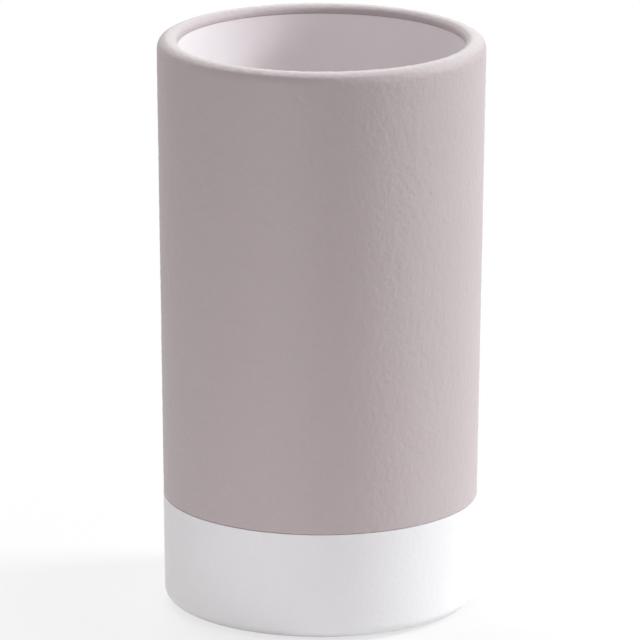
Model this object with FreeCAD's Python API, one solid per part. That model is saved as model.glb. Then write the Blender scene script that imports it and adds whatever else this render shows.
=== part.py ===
"""Toothbrush tumbler: a white porcelain cup, a soft-touch coat over its upper part and four foot pads.

Millimetres, +Z up. The origin is the centre of the base, on the surface that the tumbler stands on.
"""
import FreeCAD
import Part
import math
import os

# Overall form
overall_height = 115.0      # standing surface to the top of the rim
rim_diameter = 65.0         # outside wall, carried up to the height of the rim
draft_degrees = 0.7265      # how far the walls lean in towards the base
wall_thickness = 4.1        # whole wall, cup and coat together, measured level

# Rim, rounded over from the outside wall to the mouth
rim_land = 0.3              # flat left on top between the two curves
rim_inner_radius = 1.5      # curve into the mouth; the outer curve takes the rest of the wall

# Soft-touch coat, let into the cup so that it ends flush at both of its edges
coat_thickness = 0.6
coat_edge_radius = 0.2      # where the coat stops, outside and inside
coat_lip_length = 0.3       # how far the coat runs on below the rim's inner curve
band_height = 22.2          # standing surface to the lower edge of the coat

# Cup floor and underside
floor_thickness = 6.0
floor_fillet = 5.0          # inside corner between wall and floor
base_edge_radius = 2.2      # outside corner under the white band
foot_ring_width = 11.0      # flat ring that carries the pads
recess_depth = 1.2          # hollow inside the foot ring
recess_edge_radius = 0.5

# Foot pads, set into shallow seats in the foot ring
pad_count = 4
pad_diameter = 8.0
pad_thickness = 1.6
pad_seat_depth = 0.9
pad_seat_clearance = 0.15   # all round the pad
pad_edge_radius = 0.4

# Places worked out from the sizes above
draft = math.tan(math.radians(draft_degrees))
rim_outer_radius = wall_thickness - rim_land - rim_inner_radius
foot_plane = pad_thickness - pad_seat_depth
floor_top = foot_plane + floor_thickness
recess_top = foot_plane + recess_depth
lip_end = overall_height - rim_inner_radius - coat_lip_length


def outside(height):
    """Radius of the outside wall at a height."""
    return rim_diameter / 2 - (overall_height - height) * draft


def inside(height):
    """Radius of the inside wall at a height."""
    return outside(height) - wall_thickness


foot_ring_outer = outside(foot_plane) - base_edge_radius
recess_radius = foot_ring_outer - foot_ring_width
pad_circle_radius = (recess_radius + foot_ring_outer) / 2


def rounded_face(corners):
    """Face in the XZ plane from (radius, height, corner radius) corners, with tangent arcs at the corners."""
    points = [FreeCAD.Vector(radius, 0, height) for radius, height, _ in corners]
    starts, ends, arcs = [], [], []
    for index, corner in enumerate(points):
        round_off = corners[index][2]
        to_last = (points[index - 1] - corner).normalize()
        to_next = (points[(index + 1) % len(points)] - corner).normalize()
        if not round_off:
            starts.append(corner)
            ends.append(corner)
            arcs.append(None)
            continue
        half_angle = to_last.getAngle(to_next) / 2
        bisector = (to_last + to_next).normalize()
        tangent_length = round_off / math.tan(half_angle)
        middle = corner + bisector * (round_off / math.sin(half_angle) - round_off)
        starts.append(corner + to_last * tangent_length)
        ends.append(corner + to_next * tangent_length)
        arcs.append(Part.Arc(starts[-1], middle, ends[-1]))
    edges = []
    for index, arc in enumerate(arcs):
        if arc:
            edges.append(arc.toShape())
        following = starts[(index + 1) % len(starts)]
        edges.append(Part.LineSegment(ends[index], following).toShape())
    return Part.Face(Part.Wire(edges))


def turned(corners):
    """Solid of revolution about Z."""
    return rounded_face(corners).revolve(FreeCAD.Vector(0, 0, 0), FreeCAD.Vector(0, 0, 1), 360)


def coat_seat():
    """Corners of the face that cup and coat share, from the band's shoulder over the rim to the lip."""
    seat_top = overall_height - coat_thickness
    return [
        (outside(band_height) - coat_thickness, band_height, 0),
        (outside(seat_top) - coat_thickness, seat_top, rim_outer_radius - coat_thickness),
        (inside(seat_top) + coat_thickness, seat_top, rim_inner_radius - coat_thickness),
        (inside(lip_end) + coat_thickness, lip_end, 0),
    ]


def pad_centres():
    """Centres of the pads on the foot ring, the first one half a step round from +X."""
    for number in range(pad_count):
        angle = math.radians(360 * (number + 0.5) / pad_count)
        yield FreeCAD.Vector(pad_circle_radius * math.cos(angle), pad_circle_radius * math.sin(angle), 0)


def make_cup():
    """Porcelain cup: wall, floor, foot ring, the relief for the coat and the seats for the pads."""
    cup = turned([
        (0, recess_top, 0),
        (recess_radius, recess_top, recess_edge_radius),
        (recess_radius, foot_plane, recess_edge_radius),
        (outside(foot_plane), foot_plane, base_edge_radius),
        (outside(band_height), band_height, 0),
        *coat_seat(),
        (inside(lip_end), lip_end, 0),
        (inside(floor_top), floor_top, floor_fillet),
        (0, floor_top, 0),
    ])
    seat_radius = pad_diameter / 2 + pad_seat_clearance
    for centre in pad_centres():
        seat_mouth = centre + FreeCAD.Vector(0, 0, foot_plane)
        cup = cup.cut(Part.makeCylinder(seat_radius, pad_seat_depth, seat_mouth))
    return cup


def make_coat():
    """Soft-touch coat: outside of the wall above the white band, over the rim and just into the mouth."""
    return turned([
        (outside(band_height), band_height, coat_edge_radius),
        (outside(overall_height), overall_height, rim_outer_radius),
        (inside(overall_height), overall_height, rim_inner_radius),
        (inside(lip_end), lip_end, coat_edge_radius),
        *reversed(coat_seat()),
    ])


def make_pad(centre):
    """Round foot pad with a softened lower edge, standing on the surface."""
    pad = turned([
        (0, 0, 0),
        (pad_diameter / 2, 0, pad_edge_radius),
        (pad_diameter / 2, pad_thickness, 0),
        (0, pad_thickness, 0),
    ])
    pad.translate(centre)
    return pad


def main():
    pieces = {"porcelain_cup": make_cup(), "soft_touch_coat": make_coat()}
    for number, centre in enumerate(pad_centres(), start=1):
        pieces[f"foot_pad_{number}"] = make_pad(centre)
    os.makedirs("parts", exist_ok=True)
    for name, shape in pieces.items():
        shape.exportStep(f"parts/{name}.step")
        print(f"{name}: {len(shape.Solids)} solid, {shape.Volume / 1000:.2f} cm3, valid {shape.isValid()}")


main()
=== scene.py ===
import math

import bmesh
import bpy
from mathutils import Matrix, Vector, noise


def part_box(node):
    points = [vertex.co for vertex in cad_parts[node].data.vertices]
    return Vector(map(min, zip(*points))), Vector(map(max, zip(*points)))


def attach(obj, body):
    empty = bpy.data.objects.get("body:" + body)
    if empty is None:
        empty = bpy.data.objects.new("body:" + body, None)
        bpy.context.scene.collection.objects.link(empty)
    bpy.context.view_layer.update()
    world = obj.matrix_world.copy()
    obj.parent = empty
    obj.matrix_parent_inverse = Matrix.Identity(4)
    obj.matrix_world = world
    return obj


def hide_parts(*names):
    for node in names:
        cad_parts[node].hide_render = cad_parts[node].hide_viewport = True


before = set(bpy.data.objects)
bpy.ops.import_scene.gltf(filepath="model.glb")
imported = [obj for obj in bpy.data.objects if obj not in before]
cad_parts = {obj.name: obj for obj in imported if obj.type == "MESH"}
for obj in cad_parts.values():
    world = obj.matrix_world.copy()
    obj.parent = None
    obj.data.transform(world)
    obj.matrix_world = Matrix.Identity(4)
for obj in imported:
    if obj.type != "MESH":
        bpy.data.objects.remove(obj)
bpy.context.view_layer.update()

# Porcelain cup
# The cup is slip-cast porcelain, glazed white inside and out. Its outside is let in above the base band,
# where the coat lies, and the flat foot ring is wiped bare before firing and has four shallow pad seats.
MM = 0.001
cup_low, cup_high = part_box("porcelain_cup")
coat_low, coat_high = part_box("soft_touch_coat")
pad_boxes = [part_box(f"foot_pad_{number}") for number in range(1, 5)]

foot_plane = cup_low[2]
rim_top = coat_high[2]
band_top = coat_low[2]
draft = math.tan(math.radians(0.7265))
wall = 4.1 * MM
rim_inner_radius = 1.5 * MM
rim_outer_radius = 2.3 * MM
coat_thickness = 0.6 * MM
coat_lip_end = rim_top - rim_inner_radius - 0.3 * MM
floor_top = foot_plane + 6.0 * MM
floor_fillet = 5.0 * MM
base_edge_radius = 2.2 * MM
foot_ring_width = 11.0 * MM
recess_top = foot_plane + 1.2 * MM
recess_edge_radius = 0.5 * MM
pad_seat_depth = 0.9 * MM
pad_seat_clearance = 0.15 * MM


def outside(height):
    """Radius of the outside wall, which leans in towards the base."""
    return coat_high[0] - (rim_top - rim_outer_radius - height) * draft


def inside(height):
    """Radius of the inside wall."""
    return outside(height) - wall


def rounded(corners, step, arc_steps=10):
    """Points along (radius, height, corner radius) corners: straight runs in equal steps, corners as arcs.
    The step is a length for all the runs, or one for each run, in the order of the corners."""
    steps_along = step if isinstance(step, list) else [step] * len(corners)
    places = [Vector((radius, height)) for radius, height, _ in corners]
    path = []
    for index, corner in enumerate(places):
        round_off = corners[index][2]
        stops = [corner]
        if round_off:
            to_last = (places[index - 1] - corner).normalized()
            to_next = (places[(index + 1) % len(places)] - corner).normalized()
            half_angle = to_last.angle(to_next) / 2
            centre = corner + (to_last + to_next).normalized() * (round_off / math.sin(half_angle))
            first = corner + to_last * (round_off / math.tan(half_angle)) - centre
            turn = first.angle_signed(corner + to_next * (round_off / math.tan(half_angle)) - centre)
            stops = [centre + Matrix.Rotation(-turn * share / arc_steps, 2) @ first
                     for share in range(arc_steps + 1)]
        if path:
            run = stops[0] - path[-1]
            steps = max(1, round(run.length / steps_along[index - 1]))
            start = path[-1]
            path += [start + run * share / steps for share in range(1, steps)]
        path += stops
    return path


on_axis = 1e-7


def turned(name, outline, around, closed):
    """Mesh turned about Z from points of (radius, height). A point on the axis becomes one vertex."""
    mesh = bpy.data.meshes.new(name)
    bm = bmesh.new()
    rings = []
    for radius, height in outline:
        count = around if radius > on_axis else 1
        angles = [2 * math.pi * number / around for number in range(count)]
        rings.append([bm.verts.new((radius * math.cos(a), radius * math.sin(a), height)) for a in angles])
    pairs = list(zip(rings, rings[1:]))
    if closed:
        pairs.append((rings[-1], rings[0]))
    for low, high in pairs:
        for number in range(around):
            following = (number + 1) % around
            corners = [low[number % len(low)], low[following % len(low)],
                       high[following % len(high)], high[number % len(high)]]
            bm.faces.new(list(dict.fromkeys(corners)))
    bmesh.ops.recalc_face_normals(bm, faces=bm.faces)
    bm.to_mesh(mesh)
    bm.free()
    piece = bpy.data.objects.new(name, mesh)
    bpy.context.collection.objects.link(piece)
    return piece


def smooth(piece, sharp_degrees=40):
    """Smooth shading that keeps the piece's real edges."""
    piece.data.shade_smooth()
    piece.data.set_sharp_from_angle(angle=math.radians(sharp_degrees))


settled_depth = 0.05 * MM
settled_beyond = inside(floor_top) * 0.95
broad_wave = 22 * MM
narrow_wave = 6 * MM
narrow_start = Vector((7, 3, 1))
even_share, broad_share, narrow_share = 0.5, 0.35, 0.15


def settle(piece):
    """Gentle unevenness of a fired or dipped wall, pressed inwards only, so that no size grows."""
    for vertex in piece.data.vertices:
        broad = noise.noise(vertex.co / broad_wave)
        narrow = noise.noise(vertex.co / narrow_wave + narrow_start)
        share = even_share + broad_share * broad + narrow_share * narrow
        out = Vector((vertex.co.x, vertex.co.y, 0))
        if out.length > settled_beyond:
            vertex.co -= out.normalized() * settled_depth * min(max(share, 0), 1)


seat_top = rim_top - coat_thickness
coat_seat = [
    (outside(band_top) - coat_thickness, band_top, 0),
    (outside(seat_top) - coat_thickness, seat_top, rim_outer_radius - coat_thickness),
    (inside(seat_top) + coat_thickness, seat_top, rim_inner_radius - coat_thickness),
    (inside(coat_lip_end) + coat_thickness, coat_lip_end, 0),
]
foot_ring_outer = outside(foot_plane) - base_edge_radius
recess_radius = foot_ring_outer - foot_ring_width
cup_step = 1.0 * MM
cup_sides = 288
cup = turned("glazed_cup", rounded([
    (0, recess_top, 0),
    (recess_radius, recess_top, recess_edge_radius),
    (recess_radius, foot_plane, recess_edge_radius),
    (outside(foot_plane), foot_plane, base_edge_radius),
    (outside(band_top), band_top, 0),
    *coat_seat,
    (inside(coat_lip_end), coat_lip_end, 0),
    (inside(floor_top), floor_top, floor_fillet),
    (0, floor_top, 0),
], step=cup_step), around=cup_sides, closed=False)
settle(cup)

pad_sides = 64
cutter_mesh = bpy.data.meshes.new("pad_seat_cutter")
cutter_bm = bmesh.new()
for low, high in pad_boxes:
    seat_radius = (high[0] - low[0]) / 2 + pad_seat_clearance
    centre = Vector(((low[0] + high[0]) / 2, (low[1] + high[1]) / 2, foot_plane))
    bmesh.ops.create_cone(cutter_bm, cap_ends=True, segments=pad_sides, radius1=seat_radius,
                          radius2=seat_radius, depth=2 * pad_seat_depth, matrix=Matrix.Translation(centre))
cutter_bm.to_mesh(cutter_mesh)
cutter_bm.free()
cutter = bpy.data.objects.new("pad_seat_cutter", cutter_mesh)
bpy.context.collection.objects.link(cutter)
seats = cup.modifiers.new("pad seats", "BOOLEAN")
seats.object = cutter
seats.operation = "DIFFERENCE"
seats.solver = "EXACT"
seated = bpy.data.meshes.new_from_object(cup.evaluated_get(bpy.context.evaluated_depsgraph_get()))
cup.modifiers.clear()
cup.data = seated
bpy.data.objects.remove(cutter)
smooth(cup)


def linear(hex_colour):
    """Linear RGBA from an sRGB hex colour."""
    values = [int(hex_colour[start:start + 2], 16) / 255 for start in (1, 3, 5)]
    return [v / 12.92 if v <= 0.04045 else ((v + 0.055) / 1.055) ** 2.4 for v in values] + [1.0]


def add(material, kind, settings=None, **links):
    """Adds a node. A setting is an input by its name or number, or else a property of the node."""
    node = material.node_tree.nodes.new(kind)
    for key, value in (settings or {}).items():
        if isinstance(key, int) or key in node.inputs:
            node.inputs[key].default_value = value
        else:
            setattr(node, key, value)
    for key, socket in links.items():
        target = node.inputs[int(key[1:])] if key[1:].isdigit() else node.inputs[key.replace("_", " ")]
        material.node_tree.links.new(socket, target)
    return node


def begin(name):
    """New node material, with its shader."""
    material = bpy.data.materials.new(name)
    material.use_nodes = True
    return material, material.node_tree.nodes["Principled BSDF"]


# White glaze, fired: a satin white with a faint orange peel, and slow drifts of tone where it ran thicker.
glaze_drift = 18 * MM
glaze_peel = 1.1 * MM
glaze_peel_depth = 0.07 * MM
glaze, shader = begin("white_glaze_fired")
place = add(glaze, "ShaderNodeTexCoord")
drift = add(glaze, "ShaderNodeTexNoise", {"Scale": 1 / glaze_drift, "Detail": 2.0},
            Vector=place.outputs["Object"])
tone = add(glaze, "ShaderNodeMix", {"data_type": "RGBA", 6: linear("#ebebed"), 7: linear("#f0f0f2")},
           Factor=drift.outputs["Fac"])
peel = add(glaze, "ShaderNodeTexNoise", {"Scale": 1 / glaze_peel, "Detail": 2.0},
           Vector=place.outputs["Object"])
gloss = add(glaze, "ShaderNodeMapRange", {"To Min": 0.48, "To Max": 0.6}, Value=drift.outputs["Fac"])
relief = add(glaze, "ShaderNodeBump", {"Strength": 1.0, "Distance": glaze_peel_depth},
             Height=peel.outputs["Fac"])
shader.inputs["Specular IOR Level"].default_value = 0.3
glaze.node_tree.links.new(tone.outputs[2], shader.inputs["Base Color"])
glaze.node_tree.links.new(gloss.outputs[0], shader.inputs["Roughness"])
glaze.node_tree.links.new(relief.outputs["Normal"], shader.inputs["Normal"])

# Glaze inside, poured and fired: it lies thicker than outside, so it is a little warmer and glossier.
poured_drift = 12 * MM
poured_peel = 1.2 * MM
poured_peel_depth = 0.02 * MM
poured, shader = begin("white_glaze_poured_inside")
place = add(poured, "ShaderNodeTexCoord")
drift = add(poured, "ShaderNodeTexNoise", {"Scale": 1 / poured_drift, "Detail": 2.0},
            Vector=place.outputs["Object"])
tone = add(poured, "ShaderNodeMix", {"data_type": "RGBA", 6: linear("#f0ebed"), 7: linear("#f4eff1")},
           Factor=drift.outputs["Fac"])
peel = add(poured, "ShaderNodeTexNoise", {"Scale": 1 / poured_peel, "Detail": 2.0},
           Vector=place.outputs["Object"])
relief = add(poured, "ShaderNodeBump", {"Strength": 1.0, "Distance": poured_peel_depth},
             Height=peel.outputs["Fac"])
shader.inputs["Roughness"].default_value = 0.45
poured.node_tree.links.new(tone.outputs[2], shader.inputs["Base Color"])
poured.node_tree.links.new(relief.outputs["Normal"], shader.inputs["Normal"])

# Bare porcelain, wiped and fired: dull, a little creamier than the glaze, with a fine sandy tooth.
bare_grit = 0.5 * MM
bare_grit_depth = 0.04 * MM
bare, shader = begin("bare_porcelain_foot")
place = add(bare, "ShaderNodeTexCoord")
speck = add(bare, "ShaderNodeTexNoise", {"Scale": 1 / bare_grit, "Detail": 3.0},
            Vector=place.outputs["Object"])
tone = add(bare, "ShaderNodeMix", {"data_type": "RGBA", 6: linear("#ddd6cb"), 7: linear("#e8e2d9")},
           Factor=speck.outputs["Fac"])
relief = add(bare, "ShaderNodeBump", {"Strength": 1.0, "Distance": bare_grit_depth},
             Height=speck.outputs["Fac"])
shader.inputs["Roughness"].default_value = 0.85
bare.node_tree.links.new(tone.outputs[2], shader.inputs["Base Color"])
bare.node_tree.links.new(relief.outputs["Normal"], shader.inputs["Normal"])

level_slack = 0.1 * MM
wall_slack = 0.2 * MM
cup.data.materials.clear()
finishes = [glaze, poured, bare]
for finish in finishes:
    cup.data.materials.append(finish)
for face in cup.data.polygons:
    reach = face.center.xy.length
    level = face.center.z
    if level > recess_top + level_slack and reach < inside(level) + wall_slack:
        face.material_index = finishes.index(poured)
    elif level < foot_plane + pad_seat_depth + level_slack and recess_radius < reach < foot_ring_outer:
        face.material_index = finishes.index(bare)
    else:
        face.material_index = finishes.index(glaze)
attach(cup, "root")
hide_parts("porcelain_cup")

# Soft-touch coat
# A taupe soft-touch lacquer, built up by dipping: it covers the wall above the base band, goes over the rim
# and stops just inside the mouth. It is let into the cup, so it ends flush with the white glaze.
coat_edge_radius = 0.2 * MM
coat_sides = 440
shown_step = 0.65 * MM
hidden_step = 6 * MM
grain_size = 1.0 * MM
grain_depth = 0.13 * MM
grain_even, grain_swing = 0.5, 0.6
coat = turned("taupe_coat", rounded([
    (outside(band_top), band_top, coat_edge_radius),
    (outside(rim_top), rim_top, rim_outer_radius),
    (inside(rim_top), rim_top, rim_inner_radius),
    (inside(coat_lip_end), coat_lip_end, coat_edge_radius),
    *reversed(coat_seat),
], step=[shown_step] * 4 + [hidden_step] * 4), around=coat_sides, closed=True)
settle(coat)

# The lacquer's grain: low round swellings, pressed in from the outer face only.
outer_face = [(vertex, vertex.normal.copy()) for vertex in coat.data.vertices
              if vertex.co.xy.length > outside(vertex.co.z) - 0.5 * coat_thickness or vertex.co.z > seat_top]
for vertex, facing in outer_face:
    swelling = noise.noise(vertex.co / grain_size)
    vertex.co -= facing * grain_depth * min(max(grain_even + grain_swing * swelling, 0), 1)
smooth(coat)

# Soft-touch lacquer, dipped: matt and velvety, with a fine grain, slow drifts of tone and a pale sheen at a
# low angle. Over the rim top the tone is mixed towards a pale grey: partly the lacquer lying thin, partly a
# painted highlight for the light on the rim top.
lacquer_drift = 14 * MM
lacquer_grain = 0.85 * MM
lacquer_grain_depth = 0.095 * MM
thin_and_highlight_reach = 1.0 * MM
thin_and_highlight_share = 0.45
lacquer, shader = begin("taupe_soft_touch_lacquer")
place = add(lacquer, "ShaderNodeTexCoord")
height = add(lacquer, "ShaderNodeSeparateXYZ", Vector=place.outputs["Object"])
drift = add(lacquer, "ShaderNodeTexNoise", {"Scale": 1 / lacquer_drift, "Detail": 3.0},
            Vector=place.outputs["Object"])
tone = add(lacquer, "ShaderNodeMix", {"data_type": "RGBA", 6: linear("#ac9da0"), 7: linear("#b1a3a5")},
           Factor=drift.outputs["Fac"])
# Painted highlight: a pale grey mixed in over the top millimetre of the rim, partly for thin lacquer, partly
# standing in for the light that falls on the rim top.
thin_and_highlight = add(lacquer, "ShaderNodeMapRange", {"From Min": rim_top - thin_and_highlight_reach, "From Max": rim_top,
                                           "To Min": 0.0, "To Max": thin_and_highlight_share}, Value=height.outputs["Z"])
colour = add(lacquer, "ShaderNodeMix", {"data_type": "RGBA", 7: linear("#d8d5d5")}, Factor=thin_and_highlight.outputs[0],
             _6=tone.outputs[2])
grain = add(lacquer, "ShaderNodeTexNoise", {"Scale": 1 / lacquer_grain, "Detail": 1.0, "Roughness": 0.4},
            Vector=place.outputs["Object"])
matt = add(lacquer, "ShaderNodeMapRange", {"To Min": 0.58, "To Max": 0.66}, Value=drift.outputs["Fac"])
relief = add(lacquer, "ShaderNodeBump", {"Strength": 1.0, "Distance": lacquer_grain_depth},
             Height=grain.outputs["Fac"])
shader.inputs["Specular IOR Level"].default_value = 0.9
shader.inputs["Sheen Weight"].default_value = 0.26
shader.inputs["Sheen Roughness"].default_value = 1.0
lacquer.node_tree.links.new(colour.outputs[2], shader.inputs["Base Color"])
lacquer.node_tree.links.new(matt.outputs[0], shader.inputs["Roughness"])
lacquer.node_tree.links.new(relief.outputs["Normal"], shader.inputs["Normal"])
coat.data.materials.append(lacquer)
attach(coat, "root")
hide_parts("soft_touch_coat")

# Foot pads
# Four round pads that keep the tumbler from sliding. They are moulded in soft silicone, and pressed into the
# seats of the foot ring with a little glue.
pad_edge_radius = 0.4 * MM
pad_step = 0.4 * MM

# Clear grey silicone, moulded: milky and satin, with the fine sparking of the mould.
spark_size = 0.25 * MM
spark_depth = 0.02 * MM
silicone, shader = begin("clear_grey_silicone_moulded")
place = add(silicone, "ShaderNodeTexCoord")
spark = add(silicone, "ShaderNodeTexNoise", {"Scale": 1 / spark_size, "Detail": 2.0},
            Vector=place.outputs["Object"])
relief = add(silicone, "ShaderNodeBump", {"Strength": 0.6, "Distance": spark_depth},
             Height=spark.outputs["Fac"])
shader.inputs["Base Color"].default_value = linear("#cfccc8")
shader.inputs["Roughness"].default_value = 0.55
silicone.node_tree.links.new(relief.outputs["Normal"], shader.inputs["Normal"])
for number, (low, high) in enumerate(pad_boxes, start=1):
    pad_radius = (high[0] - low[0]) / 2
    pad = turned(f"silicone_pad_{number}", rounded([
        (0, low[2], 0),
        (pad_radius, low[2], pad_edge_radius),
        (pad_radius, high[2], 0),
        (0, high[2], 0),
    ], step=pad_step), around=pad_sides, closed=False)
    pad.data.transform(Matrix.Translation(((low[0] + high[0]) / 2, (low[1] + high[1]) / 2, 0)))
    smooth(pad)
    pad.data.materials.append(silicone)
    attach(pad, "root")
    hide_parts(f"foot_pad_{number}")

# Floor
# A sheet of white paper on a grey table. Round the tumbler it takes the light and the soft shadow, and
# further off it clears to the white of the background, so that neither its edge nor a horizon shows.
floor_size = 12.0
paper_end = 100 * MM
table_start = 200 * MM
clear_start = 45 * MM
clear_end = 130 * MM
clear_least = 0.7
floor_mesh = bpy.data.meshes.new("floor")
floor_bm = bmesh.new()
bmesh.ops.create_grid(floor_bm, x_segments=1, y_segments=1, size=floor_size / 2)
floor_bm.to_mesh(floor_mesh)
floor_bm.free()
floor = bpy.data.objects.new("floor", floor_mesh)
bpy.context.collection.objects.link(floor)


def seen_directly(owner):
    """Node that is 1 on rays that show the background: to the camera, mirrored, or through glass."""
    rays = add(owner, "ShaderNodeLightPath")
    mirrored = add(owner, "ShaderNodeMath", {"operation": "MAXIMUM"}, _0=rays.outputs["Is Camera Ray"],
                   _1=rays.outputs["Is Glossy Ray"])
    return add(owner, "ShaderNodeMath", {"operation": "MAXIMUM"}, _0=mirrored.outputs[0],
               _1=rays.outputs["Is Transmission Ray"])


# White paper, uncoated: dull and even, bright close to the tumbler, with the grey of the table beyond it.
paper, shader = begin("white_paper_uncoated")
shader.inputs["Roughness"].default_value = 0.9
shader.inputs["Specular IOR Level"].default_value = 0.1
place = add(paper, "ShaderNodeTexCoord")
reach = add(paper, "ShaderNodeVectorMath", {"operation": "LENGTH"}, _0=place.outputs["Object"])
card = add(paper, "ShaderNodeMapRange", {"From Min": paper_end, "From Max": table_start,
                                         "interpolation_type": "SMOOTHSTEP"}, Value=reach.outputs["Value"])
tone = add(paper, "ShaderNodeMix", {"data_type": "RGBA", 6: linear("#f0f0f0"), 7: linear("#a8a8a8")},
           Factor=card.outputs[0])
paper.node_tree.links.new(tone.outputs[2], shader.inputs["Base Color"])
clearing = add(paper, "ShaderNodeMapRange", {"From Min": clear_start, "From Max": clear_end,
                                             "To Min": clear_least, "To Max": 1.0,
                                             "interpolation_type": "SMOOTHSTEP"},
               Value=reach.outputs["Value"])
seen = seen_directly(paper)
share = add(paper, "ShaderNodeMath", {"operation": "MULTIPLY"}, _0=seen.outputs[0], _1=clearing.outputs[0])
white = add(paper, "ShaderNodeEmission", {"Color": linear("#ffffff"), "Strength": 1.0})
sheet = add(paper, "ShaderNodeMixShader", _0=share.outputs[0], _1=shader.outputs[0], _2=white.outputs[0])
paper.node_tree.links.new(sheet.outputs[0], paper.node_tree.nodes["Material Output"].inputs["Surface"])
floor.data.materials.append(paper)

# Light
# A soft, slightly cool key from the right, a larger lamp high behind for the rim, a small low fill at the
# front left, and studio walls that shine as a grey, a little warm, and show as a white background.
studio = bpy.data.worlds.new("white_studio")
studio.use_nodes = True
bpy.context.scene.world = studio
surround = studio.node_tree.nodes["Background"]
seen = seen_directly(studio)
walls = add(studio, "ShaderNodeMix", {"data_type": "RGBA", 6: linear("#b1acad"), 7: linear("#ffffff")},
            Factor=seen.outputs[0])
studio.node_tree.links.new(walls.outputs[2], surround.inputs["Color"])

aim = Vector((0, 0, rim_top / 2))


def lamp(name, colour, bearing, elevation, distance, size, power):
    """Square soft lamp. Bearing 0 is in front of the tumbler, on the camera's side, and 90 to its right."""
    light = bpy.data.lights.new(name, "AREA")
    light.size = size
    light.energy = power
    light.color = linear(colour)[:3]
    holder = bpy.data.objects.new(name, light)
    bpy.context.collection.objects.link(holder)
    level = math.cos(math.radians(elevation))
    away = Vector((math.sin(math.radians(bearing)) * level, -math.cos(math.radians(bearing)) * level,
                   math.sin(math.radians(elevation))))
    holder.location = aim + away * distance
    holder.rotation_euler = away.to_track_quat("Z", "Y").to_euler()
    holder.visible_camera = False


lamp("key", "#fbfeff", bearing=98, elevation=31, distance=1.0, size=0.3, power=8.4)
lamp("back", "#ffffff", bearing=198, elevation=50, distance=1.2, size=0.6, power=5.8)
lamp("low front fill", "#ffffff", bearing=333, elevation=-2, distance=0.35, size=0.08, power=0.185)

# Camera
# A long lens, 15 degrees above level, that fills the frame with the tumbler.
camera_data = bpy.data.cameras.new("camera")
camera_data.sensor_width = 36
camera_data.lens = 412.4
camera_data.clip_end = 50
camera = bpy.data.objects.new("camera", camera_data)
bpy.context.collection.objects.link(camera)
view_elevation = math.radians(15.19)
view_distance = 1.455
view_roll = math.radians(0.164)
view_target = Vector((-0.155 * MM, 0, 57.356 * MM))
view_back = Vector((0, -math.cos(view_elevation), math.sin(view_elevation)))
camera.location = view_target + view_back * view_distance
camera.rotation_euler = (view_back.to_track_quat("Z", "Y").to_matrix()
                         @ Matrix.Rotation(view_roll, 3, "Z")).to_euler()
bpy.context.scene.camera = camera
bpy.context.scene.view_settings.view_transform = "Standard"
